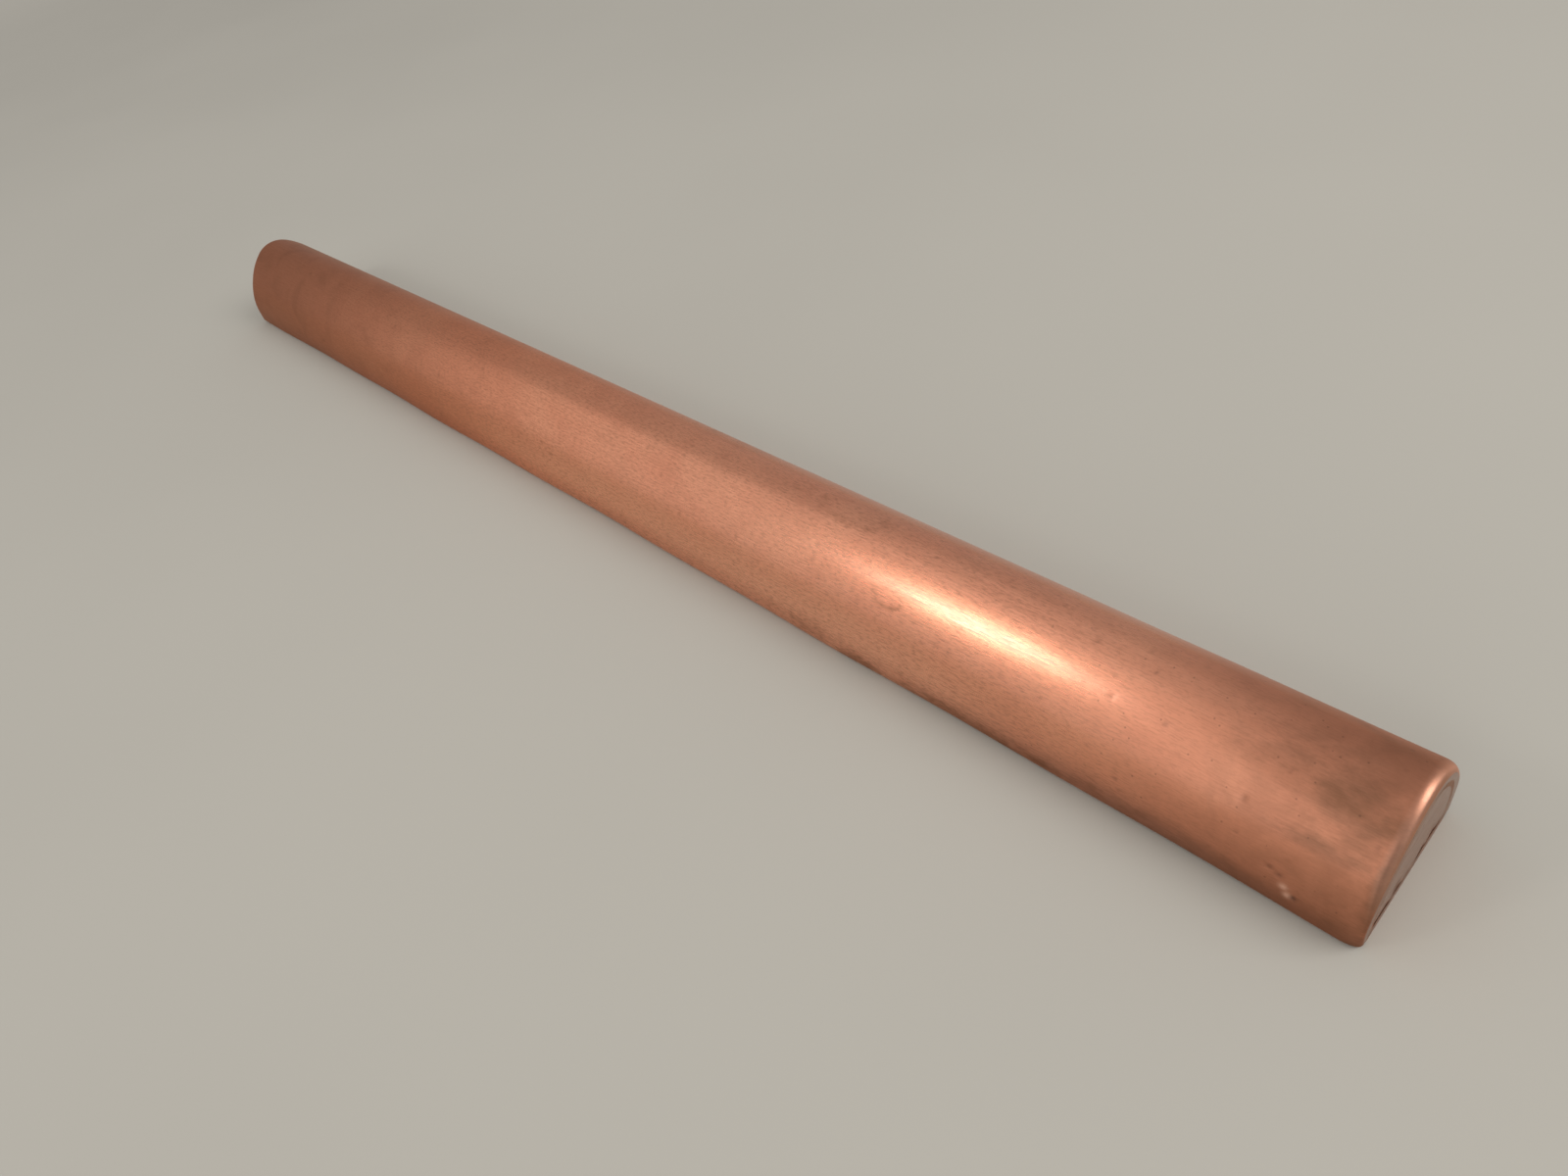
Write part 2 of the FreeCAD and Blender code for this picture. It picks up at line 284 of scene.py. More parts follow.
def new_piece(name, points, faces, vectors):
    """Smooth shaded object from vertices and faces, with its vector attributes."""
    mesh = bpy.data.meshes.new(name)
    mesh.from_pydata(points.tolist(), [], faces)
    for label, values in vectors.items():
        attribute = mesh.attributes.new(label, "FLOAT_VECTOR", "POINT")
        attribute.data.foreach_set("vector", values.astype(np.float32).ravel())
    mesh.polygons.foreach_set("use_smooth", np.ones(len(faces), bool))
    mesh.set_sharp_from_angle(angle=SOFT_ANGLE)
    mesh.update()
    piece = bpy.data.objects.new(name, mesh)
    bpy.context.scene.collection.objects.link(piece)
    return piece


# Drift of the feet: mean, then the size, waves, phase and rear turns of two sine curves.
DRIFT_MEAN = 0.5
DRIFT_WAVES = ((0.28, 18.2, 1.1, 1), (0.22, 46.0, 0.4, 2))
REAR_TURN = 1.9
DRIFT_REACH = 0.006
# Dents and pits are drawn at random: reaches in metres, depths as shares of the deepest.
DENT_COUNT = 30
DENT_REACH = (0.004, 0.012)
DENT_LONG, DENT_WIDE = 1.6, 0.6
DENT_SHARE = (0.3, 1.0)
PIT_ALONG, PIT_CROWDING = (0.01, 0.97), 1.4
PIT_AROUND = (0.02, 0.98)
PIT_REACH = (0.00018, 0.0003)
PIT_SHARE = (0.1, 0.6)
BLACK_PIT = 0.00025
RING_WIDTH = 0.28


def surface_wear(shape, along, around):
    """Depth below the true surface, and the shares of stain, pit and bare metal.

    The depth adds slow drifts of both feet, broad dents and small round pits, all bell
    curves over the grid of places.  A ring stain is a bell curve of the distance from an
    oval instead of from a point.
    """
    rng = np.random.default_rng(7)
    x, s = np.meshgrid(along, around, indexing="ij")
    length = along[-1] - along[0]
    total = around[-1]
    low = np.minimum(s, total - s)
    side = np.where(s < total / 2, 0.0, REAR_TURN)
    wave = DRIFT_MEAN
    for size, waves, phase, turns in DRIFT_WAVES:
        wave = wave + size * np.sin(waves * x / length + phase + turns * side)
    depth = shape.foot_wander * wave * (1 - ease(0.0, DRIFT_REACH, low))
    stain, dark, bare = np.zeros_like(x), np.zeros_like(x), np.zeros_like(x)
    for _ in range(DENT_COUNT):
        centre_x, centre_s = rng.uniform(along[0], along[-1]), rng.uniform(0, total)
        reach = rng.uniform(*DENT_REACH)
        dent = bump(x, centre_x, DENT_LONG * reach) * bump(s, centre_s, DENT_WIDE * reach)
        depth += shape.dent_depth * rng.uniform(*DENT_SHARE) * dent
    for _ in range(shape.pit_count):
        centre_x = along[-1] - length * rng.uniform(*PIT_ALONG) ** PIT_CROWDING
        centre_s = total * rng.uniform(*PIT_AROUND)
        reach, share = rng.uniform(*PIT_REACH), rng.uniform(*PIT_SHARE)
        pit = bump(x, centre_x, reach) * bump(s, centre_s, reach)
        depth += shape.pit_depth * share * pit
        dark = np.maximum(dark, share * pit)
    marks = [(kind, *mark) for kind, group in MARKS.items() for mark in group]
    for kind, centre_x, centre_s, reach_x, reach_s, amount in marks:
        away = np.hypot((x - centre_x) / reach_x, (s - centre_s) / reach_s)
        spot = np.exp(-(away**2))
        if kind == "pit":
            depth += amount * spot
            dark = np.maximum(dark, spot * min(1.0, amount / BLACK_PIT))
        elif kind == "chip":
            depth -= amount * spot
            bare = np.maximum(bare, spot)
        elif kind == "ring":
            stain = np.maximum(stain, amount * bump(away, 1.0, RING_WIDTH))
        else:
            stain = np.maximum(stain, amount * spot)
    return depth, stain, dark, bare


# Cross sections of the lining and points across each.
LINING_STATIONS = 26
LINING_AROUND = 31
# The lining's feet are all but sharp: the foot radius over this.
SHARP = 20
# Heights between which the end rounding grows, and the bare metal on it.
RIM_LOW, RIM_HIGH = 0.005, 0.013
RIM_BARE = 0.4
# The near front corner is worn this far around the arch.
CORNER_SPREAD = 0.0030


def cover_surface(shape):
    """Vertices, faces and attributes of the cover.

    The outer arch, front foot to rear foot, is carried along the bar on a fine grid and
    sinks by the wear depth and by a quarter of an ellipse towards both rims.  The near
    front corner moves inwards by a quarter circle along the bar times a bell curve around
    it.  The lining is a coarse grid one wall further in.  Bands of many-sided faces close
    the two feet and the two ends, each spanning one step of the lining.
    """
    outer, normals, run = arch(
        SHELL_HIGH.y, SHELL_HIGH.z, shape.spring_height, shape.crown_radius,
        shape.foot_radius, shape.around)
    inner, _, _ = arch(
        SHELL_HIGH.y - shape.wall, SHELL_HIGH.z - shape.wall, shape.spring_height,
        shape.crown_radius - shape.wall, shape.foot_radius / SHARP, shape.around)
    along = station_places(SHELL_HIGH.x, shape.stations, shape.rim_reach)
    stations, count = len(along), len(run)

    raised = ease(RIM_LOW, RIM_HIGH, outer[:, 1])
    reach = shape.low_rim_reach + raised * (shape.rim_reach - shape.low_rim_reach)
    drop = shape.low_rim_drop + raised * (shape.rim_drop - shape.low_rim_drop)
    past = (np.abs(along)[:, None] - (SHELL_HIGH.x - reach)) / reach
    past = np.clip(past, 0, 1)
    rim = drop * (1 - np.sqrt(1 - past**2))
    depth, stain, dark, bare = surface_wear(shape, along, run)
    depth = np.maximum(depth, 0) * (1 - past) + rim + np.minimum(depth, 0)
    skin = outer - depth[..., None] * normals
    corner = np.clip((along - SHELL_HIGH.x) / shape.corner_reach + 1, 0, 1)
    corner = (1 - np.sqrt(1 - corner**2))[:, None] * bump(run, 0.0, CORNER_SPREAD)
    skin[..., 0] += corner * shape.corner_inward
    skin[..., 0] = np.clip(skin[..., 0], -SHELL_HIGH.y, SHELL_HIGH.y)
    skin[..., 1] = np.clip(skin[..., 1], 0, SHELL_HIGH.z)
    across = np.broadcast_to(along[:, None, None], (stations, count, 1))
    skin = np.concatenate([across, skin], axis=2).reshape(-1, 3)

    rows, marks = pick(stations, LINING_STATIONS), pick(count, LINING_AROUND)
    lining = np.concatenate([
        np.broadcast_to(along[rows][:, None, None], (len(rows), len(marks), 1)),
        np.broadcast_to(inner[marks][None], (len(rows), len(marks), 2))], axis=2)
    points = np.concatenate([skin, lining.reshape(-1, 3)])

    places = np.stack(np.meshgrid(along, run, indexing="ij") + [depth], axis=2)
    lining_places = np.stack(
        np.meshgrid(along[rows], run[marks], indexing="ij")
        + [np.full((len(rows), len(marks)), shape.wall)], axis=2)
    place = np.concatenate([places.reshape(-1, 3), lining_places.reshape(-1, 3)])
    edge = np.maximum(bare, RIM_BARE * past * raised)
    wear = np.stack([stain, dark, edge], axis=2).reshape(-1, 3)
    wear = np.concatenate([wear, np.zeros((lining_places.size // 3, 3))])

    def quads(first, rows_count, columns, outward):
        i, j = np.meshgrid(np.arange(rows_count - 1), np.arange(columns - 1), indexing="ij")
        start = first + i * columns + j
        ring = [start, start + columns, start + columns + 1, start + 1]
        return np.stack(ring if outward else ring[::-1], axis=-1).reshape(-1, 4).tolist()

    base = stations * count
    faces = quads(0, stations, count, True) + quads(base, len(rows), len(marks), False)
    last = (stations - 1) * count
    for m in range(len(rows) - 1):
        span = np.arange(rows[m], rows[m + 1] + 1)
        here, there = base + m * len(marks), base + (m + 1) * len(marks)
        end = len(marks) - 1
        faces.append([*(span[::-1] * count).tolist(), here, there])
        faces.append([*(span * count + count - 1).tolist(), there + end, here + end])
    for n in range(len(marks) - 1):
        span = np.arange(marks[n], marks[n + 1] + 1)
        far, near = base + n, base + (len(rows) - 1) * len(marks) + n
        faces.append([*span.tolist(), far + 1, far])
        faces.append([*(last + span[::-1]).tolist(), near, near + 1])
    return points, faces, {"place": place, "wear": wear}


# Points of a plate's outline: fine ones to pick from, then those kept on arch and foot.
OUTLINE_FINE, OUTLINE_ARCH, OUTLINE_FOOT = 3000, 140, 60


def plate_outline(shape, inset, foot):
    """Front foot to rear foot over an arch a given inset within the cover, and back."""
    dense, _, _ = arch(
        SHELL_HIGH.y - inset, SHELL_HIGH.z - inset, shape.spring_height,
        shape.crown_radius - inset, shape.foot_radius / SHARP, OUTLINE_FINE)
    kept = dense[dense[:, 1] >= foot]
    kept[[0, -1], 1] = foot
    picked = kept[pick(len(kept), OUTLINE_ARCH)]
    return np.concatenate([picked, np.linspace(picked[-1], picked[0], OUTLINE_FOOT)[1:-1]])


def wrap_faces(rings, ring, closed):
    """Quads over rings of points; closed joins the last ring to the first."""
    steps = rings if closed else rings - 1
    i, j = np.meshgrid(np.arange(steps), np.arange(ring), indexing="ij")
    following, upper = (j + 1) % ring, (i + 1) % rings
    faces = np.stack([
        i * ring + j, i * ring + following, upper * ring + following, upper * ring + j],
        axis=-1)
    return faces.reshape(-1, 4).tolist()


# End plates: rings on the outer and the inner face, the smallest as a share of the largest.
FACE_RINGS, BACK_RINGS, SMALL_RING = 36, 5, 0.03
DISH_DEPTH = 0.00005
NOTCH_COUNT, NOTCH_DEPTH = 18, 0.00006
NOTCH_HEIGHT = 0.0028
NOTCH_REACH = (0.0004, 0.0013)
NOTCH_SHARE = (0.2, 1.0)
# Share of tarnish colour that darkens an end plate's face towards its foot.
PLATE_FOOT_DARKENING = 0.2
BLEMISH_Y, BLEMISH_Z, BLEMISH_REACH, BLEMISH_DEPTH = -0.0038, 0.0036, 0.0007, 0.0003


def plate_surface(shape, name, seam):
    """Vertices, faces and attributes of an end plate.

    Rings of the plate's outline grow from a small one in the middle of the outer face to
    its edge, fall over the bevel, drop to the inner face and shrink again.  The outer face
    sinks by a slight dish, by ragged notches along its foot and by one blemish.
    """
    rng = np.random.default_rng(11)
    low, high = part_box(name)
    inset = SHELL_HIGH.y - high.y
    face = plate_outline(shape, inset + seam, low.z + seam)
    full = plate_outline(shape, inset, low.z)
    middle = np.array([0.0, (low.z + high.z) / 2])
    grow = np.linspace(SMALL_RING, 1, FACE_RINGS)[:, None, None]
    shrink = np.linspace(1, SMALL_RING, BACK_RINGS)[:, None, None]
    flat = np.concatenate([
        middle + grow * (face - middle), full[None], middle + shrink * (full - middle)])
    y, z = flat[..., 0], flat[..., 1]
    low_part = 1 - ease(low.z + seam, low.z + seam + NOTCH_HEIGHT, z)
    sink = np.full_like(y, abs(high.x - low.x))
    sink[:len(grow)] = DISH_DEPTH * np.cos(grow[..., 0] * math.pi / 2)
    sink[len(grow)] = seam
    notches = np.zeros_like(y)
    for _ in range(NOTCH_COUNT):
        centre, reach = rng.uniform(low.y, high.y), rng.uniform(*NOTCH_REACH)
        amount = NOTCH_DEPTH * rng.uniform(*NOTCH_SHARE)
        notches += amount * bump(y, centre, reach) * low_part
    blemish = bump(np.hypot(y - BLEMISH_Y, z - BLEMISH_Z), 0.0, BLEMISH_REACH)
    sink[:len(grow)] += (notches + BLEMISH_DEPTH * blemish)[:len(grow)]
    outward = math.copysign(1.0, high.x)
    x = outward * (max(abs(high.x), abs(low.x)) - sink)
    on_face = (np.arange(len(flat)) < len(grow))[:, None]
    # The face darkens towards its foot and at the blemish.
    wear = np.stack([
        PLATE_FOOT_DARKENING * low_part * on_face, blemish * on_face, np.zeros_like(y)], axis=2)
    points = np.stack([x, y, z], axis=2)
    if outward < 0:
        points, wear = points[:, ::-1], wear[:, ::-1]
    rings, ring = y.shape
    faces = wrap_faces(rings, ring, False)
    faces.append(np.arange(ring)[::-1].tolist())
    faces.append(((rings - 1) * ring + np.arange(ring)).tolist())
    return points.reshape(-1, 3), faces, {"wear": wear.reshape(-1, 3)}


# End seams: rings across the flush side, and its lumps as shares of the way around.
SEAM_RINGS = 6
LUMP_COUNT, LUMP_DEPTH = 46, 0.000015
LUMP_SHARE = (0.1, 1.0)
LUMP_REACH = (0.004, 0.012)


def end_seam_surface(shape, name, plate_name, seam):
    """Vertices and faces of the brazing ring in an end plate's bevel.

    Its section is a triangle: flush at the outer face, with the plate's bevel below.  The
    flush side sinks by a row of bell curves of uneven width, nothing at both edges.
    """
    rng = np.random.default_rng(5)
    low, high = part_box(name)
    plate_low, plate_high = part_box(plate_name)
    inset = SHELL_HIGH.y - plate_high.y
    outer = plate_outline(shape, SHELL_HIGH.y - high.y, low.z)
    inner = plate_outline(shape, inset + seam, plate_low.z + seam)
    root = plate_outline(shape, inset, plate_low.z)
    share = np.linspace(0, 1, SEAM_RINGS)[:, None, None]
    across = outer + share * (inner - outer)
    place = np.arange(len(outer)) / len(outer)
    lumps = np.zeros_like(place)
    for _ in range(LUMP_COUNT):
        amount, centre = rng.uniform(*LUMP_SHARE), rng.uniform(0, 1)
        lumps += amount * bump(place, centre, rng.uniform(*LUMP_REACH))
    sink = LUMP_DEPTH * lumps * np.sin(share[..., 0] * math.pi)
    flat = np.concatenate([across, root[None]])
    fall = np.concatenate([sink, np.full((1, len(outer)), seam)])
    outward = math.copysign(1.0, high.x)
    x = outward * (max(abs(high.x), abs(low.x)) - fall)
    points = np.stack([x, flat[..., 0], flat[..., 1]], axis=2)
    if outward > 0:
        points = points[::-1]
    return points.reshape(-1, 3), wrap_faces(*x.shape, True), {}


# ---- shader groups


def new_group(name, output, inputs):
    """Shader group from a vector and numbers to one number, with what it is given and its end."""
    group = bpy.data.node_groups.new(name, "ShaderNodeTree")
    group.interface.new_socket("Vector", in_out="INPUT", socket_type="NodeSocketVector")
    for label, default in inputs.items():
        socket = group.interface.new_socket(label, in_out="INPUT", socket_type="NodeSocketFloat")
        socket.default_value = default
    group.interface.new_socket(output, in_out="OUTPUT", socket_type="NodeSocketFloat")
    given = group.nodes.new("NodeGroupInput").outputs
    return group, given, group.nodes.new("NodeGroupOutput")


def fill(tree, node, values):
    """Give inputs of a node, by label or number, a value or the link from an output."""
    for key, given in dict(values).items():
        if isinstance(given, bpy.types.NodeSocket):
            tree.links.new(given, node.inputs[key])
        else:
            node.inputs[key].default_value = given


def add(tree, kind, values=(), **settings):
    """Node with its settings and filled inputs."""
    node = tree.nodes.new(kind)
    for name, setting in settings.items():
        setattr(node, name, setting)
    fill(tree, node, values)
    return node


def math_node(tree, operation, *operands):
    """Math node; each operand is a number or an output socket."""
    return add(tree, "ShaderNodeMath", enumerate(operands), operation=operation).outputs[0]


def times(tree, first, second):
    """Product of two numbers or output sockets."""
    return math_node(tree, "MULTIPLY", first, second)


def plus(tree, first, second):
    """Sum of two numbers or output sockets."""
    return math_node(tree, "ADD", first, second)


def stretch(tree, source, low, high, to_low=0.0, to_high=1.0):
    """Map Range with a smooth step and clamped ends."""
    node = add(
        tree, "ShaderNodeMapRange", enumerate((source, low, high, to_low, to_high)),
        interpolation_type="SMOOTHSTEP")
    return node.outputs["Result"]


def grain_group():
    """Lengthwise brushed grain: noise drawn out along the first axis, in two sizes."""
    group, given, end = new_group(
        "Lengthwise grain", "Grain", {"Fineness": 3000.0, "Drawn out": 30.0})
    split = add(group, "ShaderNodeSeparateXYZ", {0: given["Vector"]})
    shares = []
    for coarser, weight in ((1.0, 0.7), (3.0, 0.3)):
        across = math_node(group, "DIVIDE", given["Fineness"], coarser)
        along = math_node(group, "DIVIDE", across, given["Drawn out"])
        rates = {"X": along, "Y": across, "Z": across}
        join = add(group, "ShaderNodeCombineXYZ", {
            axis: times(group, split.outputs[axis], rate) for axis, rate in rates.items()})
        noise = add(group, "ShaderNodeTexNoise", {
            "Vector": join.outputs[0], "Scale": 1.0, "Detail": 3.0})
        shares.append(times(group, noise.outputs["Fac"], weight))
    total = plus(group, shares[0], shares[1])
    group.links.new(total, end.inputs["Grain"])
    return group


def cloud_group():
    """Tarnish clouds: distorted noise cut by a soft threshold."""
    group, given, end = new_group(
        "Tarnish clouds", "Mask", {"Scale": 60.0, "Threshold": 0.5, "Softness": 0.12})
    noise = add(group, "ShaderNodeTexNoise", {
        "Vector": given["Vector"], "Scale": given["Scale"],
        "Detail": 6.0, "Roughness": 0.6, "Distortion": 0.6})
    low = math_node(group, "SUBTRACT", given["Threshold"], given["Softness"])
    high = plus(group, given["Threshold"], given["Softness"])
    mask = stretch(group, noise.outputs["Fac"], low, high)
    group.links.new(mask, end.inputs["Mask"])
    return group


def speck_group():
    """Small dark specks: cells around scattered points, kept only where chance allows."""
    group, given, end = new_group(
        "Specks", "Mask", {"Spacing scale": 500.0, "Size": 0.18, "Share": 0.1})
    cells = add(group, "ShaderNodeTexVoronoi", {
        "Vector": given["Vector"], "Scale": given["Spacing scale"]},
        feature="F1")
    chance = add(group, "ShaderNodeSeparateColor", {0: cells.outputs["Color"]})
    kept = math_node(group, "LESS_THAN", chance.outputs[0], given["Share"])
    half_size = times(group, given["Size"], 0.4)
    dot = stretch(group, cells.outputs["Distance"], given["Size"], half_size)
    mask = times(group, dot, kept)
    group.links.new(mask, end.inputs["Mask"])
    return group


# The shared shader groups by name, filled by build_groups.
GROUPS = {}


def build_groups():
    """Make the shared shader groups."""
    GROUPS.update(grain=grain_group(), clouds=cloud_group(), specks=speck_group())


def use_group(tree, key, vector, *values):
    """Instance of a shared group; the values fill its inputs after the vector, in order."""
    node = add(tree, "ShaderNodeGroup", enumerate((vector, *values)), node_tree=GROUPS[key])
    return node.outputs[0]


def mix_colour(tree, fac, first, second):
    """Mix of two colours; each is a colour or an output socket."""
    first, second = (
        given if isinstance(given, bpy.types.NodeSocket) else (*given, 1.0)
        for given in (first, second))
    node = add(tree, "ShaderNodeMix", {0: fac, 6: first, 7: second}, data_type="RGBA")
    return node.outputs[2]


def most(tree, *masks):
    """Largest of several masks."""
    result = masks[0]
    for mask in masks[1:]:
        result = math_node(tree, "MAXIMUM", result, mask)
    return result


FILM_ROUGHNESS = 0.20
FILM_IOR = 1.5


def new_material(name, film=0.0):
    """Node material with a Principled shader under a thin clear oxide film."""
    material = bpy.data.materials.new(name)
    material.use_nodes = True
    tree = material.node_tree
    tree.nodes.clear()
    shader = add(tree, "ShaderNodeBsdfPrincipled", {
        "Metallic": 1.0, "Coat Weight": film, "Coat Roughness": FILM_ROUGHNESS,
        "Coat IOR": FILM_IOR})
    add(tree, "ShaderNodeOutputMaterial", {"Surface": shader.outputs[0]})
    return material, tree, shader


def give_height(tree, shader, height, distance):
    """Bump of a given real height on the shader's normal."""
    node = add(tree, "ShaderNodeBump", {"Strength": 1.0, "Distance": distance, "Height": height})
    tree.links.new(node.outputs[0], shader.inputs["Normal"])


# ---- materials

# Brushing along the bar spreads a reflection across it: a quarter turn from the grain.
BRUSH_ANISOTROPY = 0.65
ACROSS_THE_BRUSHING = 0.25
# Grain: fineness, drawing out.  Clouds: scale, threshold, softness.  Specks: spacing scale,
# size, share.  Rates of a noise: along the bar, around it.
COVER_GRAIN, FLAT_GRAIN = (7400.0, 34.0), (3600.0, 18.0)
PATCHES, BROWN, BLOTCHES = (42.0, 0.50, 0.16), (120.0, 0.58, 0.16), (230.0, 0.53, 0.17)
FLAT_CLOUDS, SOOT, FILED_SPOTS = (160.0, 0.54, 0.16), (500.0, 0.5, 0.15), (330.0, 0.66, 0.05)
COVER_SPECKS, FLAT_SPECKS = (1100.0, 0.20, 0.12), (900.0, 0.2, 0.14)
FLECK_RATES, SMEAR_RATES = (900.0, 4200.0), (260.0, 520.0)
# Places along the bar (X) or around the arch (RUN) where a layer of colour starts and is full.
# The first two pairs are painted shade towards the far end, and tarnish with painted shade at the
# near end.
FAR_SHADE_X, NEAR_TARNISH_AND_SHADE_X, FILM_X = (0.01, -0.15), (0.107, 0.152), (-0.04, 0.09)
# The low front towards the near end: brown tarnish and painted shade for the reflection of the
# shaded floor.
LOW_TARNISH_AND_SHADE_X, LOW_TARNISH_AND_SHADE_RUN = (0.075, 0.145), (0.0105, 0.0015)
# Painted light low on the front flank, full from the middle to 80 mm towards the near end.
PAINTED_LIGHT_START_X, PAINTED_LIGHT_END_X, PAINTED_LIGHT_RUN = (-0.06, 0.0), (0.115, 0.080), (0.013, 0.005)
BLOTCHED_X, QUIET_X, FLECK_RUN = (0.118, 0.146), (0.090, 0.140), (0.022, 0.004)
# Values of a noise between which its layer comes in.
FLECK_NOISE = (0.46, 0.66)
STREAK_NOISE, FLAT_STREAK_NOISE = (0.45, 0.64), (0.48, 0.68)
STAIN_NOISE, ROUGH_NOISE, WIDE_NOISE = (0.05, 1.00), (0.36, 0.64), (0.3, 0.7)
# Largest share of each layer; flecks differ between crown and foot.
# The first and third are the largest shares of the low front's tarnish with painted shade, and of
# its painted light.
LOW_TARNISH_AND_SHADE_SHARE, BROWN_SHARE, PAINTED_LIGHT_SHARE, BLOTCH_SHARE = 0.95, 0.14, 0.90, 0.34
FLECK_SHARES, STREAK_SHARE, QUIET_SHARE = (0.46, 0.50), 0.25, 0.40
STAIN_SHARE, BARE_SHARE = 0.85, 0.9
SPECK_SHARE, FLAT_SPECK_SHARE, SOOT_SHARE, FILED_SHARE = 0.40, 0.6, 0.25, 0.7
# Stains fray by two noises about their mean, and end where the named mark fades.
FRAY_FINE, FRAY_MEAN, STAIN_EDGE = 0.45, 0.72, 6.0
# Extra roughness of tarnish and of the painted shade, and the roughness of the flat pieces and
# the seams.
SOILED_ROUGHNESS, CLOUDED_ROUGHNESS = 0.16, 0.2
BELOW_MEAN, ABOVE_MEAN = 0.05, 0.08
SEAM_ROUGHNESS = (0.42, 0.62)
LUMPS_OVER_GRAIN = 6


def speckle(tree, where, along, around):
    """Noise drawn out along the bar: its vector is scaled by two rates."""
    mapping = add(tree, "ShaderNodeMapping", {"Vector": where, "Scale": (along, around, around)})
    noise = add(tree, "ShaderNodeTexNoise", {
        "Vector": mapping.outputs[0], "Scale": 1.0, "Detail": 3.0, "Roughness": 0.6})
    return noise.outputs["Fac"]


def wear_shares(tree):
    """Stain, pit and bare metal of the surface as three output sockets."""
    worn = add(tree, "ShaderNodeAttribute", attribute_name="wear")
    marks = add(tree, "ShaderNodeSeparateXYZ", {0: worn.outputs["Vector"]})
    return tuple(marks.outputs)


